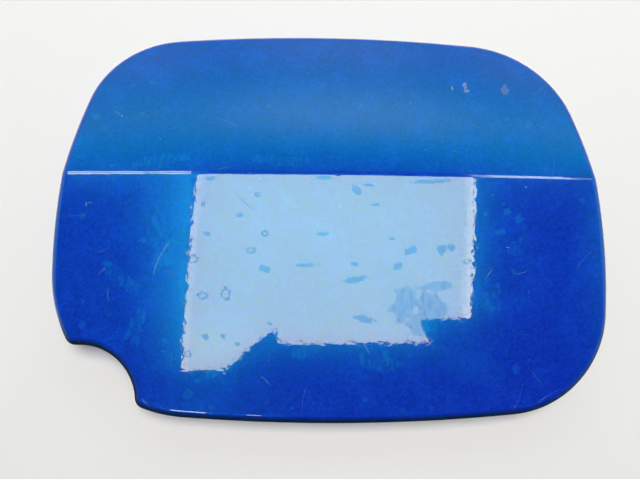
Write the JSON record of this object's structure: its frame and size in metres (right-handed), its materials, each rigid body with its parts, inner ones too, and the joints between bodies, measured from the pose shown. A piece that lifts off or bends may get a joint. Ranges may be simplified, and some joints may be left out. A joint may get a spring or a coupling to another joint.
{
  "type": "car fuel door",
  "caption": "Painted steel fuel door with a creased face, rolled rim and finger notch, on a spring-held hinge with a screw-on bracket and a filler cap holder inside.",
  "frame": {"origin": "below the middle of the closed door, on the plane that the hinge bracket is screwed to", "axes": "+X along the side of the car towards the hinge, +Y up the side of the car, +Z outwards from the car"},
  "size_m": [0.19, 0.14, 0.0209],
  "materials": {
    "body_paint": "metallic blue under clear lacquer, smudged, with fine scratches and small chips",
    "inner_paint": "thin blue paint with overspray",
    "zinc_plate": "dull zinc plate",
    "rivet_steel": "plain",
    "bright_steel": "ground",
    "spring_steel": "blued",
    "nylon": "natural",
    "buffer_rubber": "matt",
    "black_plastic": "fine grain"
  },
  "bodies": {
    "bracket": {"hinge_bracket": "zinc_plate", "hinge_pin": "bright_steel", "pin_clip": "spring_steel", "leaf_spring": "spring_steel", "spring_rivet_1": "rivet_steel", "spring_rivet_2": "rivet_steel"},
    "door": {"outer_skin": "body_paint", "inner_panel": "inner_paint", "hinge_arm": "zinc_plate", "arm_rivet_1": "rivet_steel", "arm_rivet_2": "rivet_steel", "arm_rivet_3": "rivet_steel", "arm_rivet_4": "rivet_steel", "bush_upper": "nylon", "bush_lower": "nylon", "buffer_1": "buffer_rubber", "buffer_2": "buffer_rubber", "buffer_3": "buffer_rubber", "buffer_4": "buffer_rubber", "cap_holder": "black_plastic", "holder_rivet_1": "black_plastic", "holder_rivet_2": "black_plastic"}
  },
  "joints": [
    {"name": "door_hinge", "type": "hinge", "parent": "bracket", "child": "door", "pos_m": [0.082, 0, 0.0076], "axis": [0, 1, 0], "range_deg": [0, 90], "deforming": ["leaf_spring"]}
  ]
}
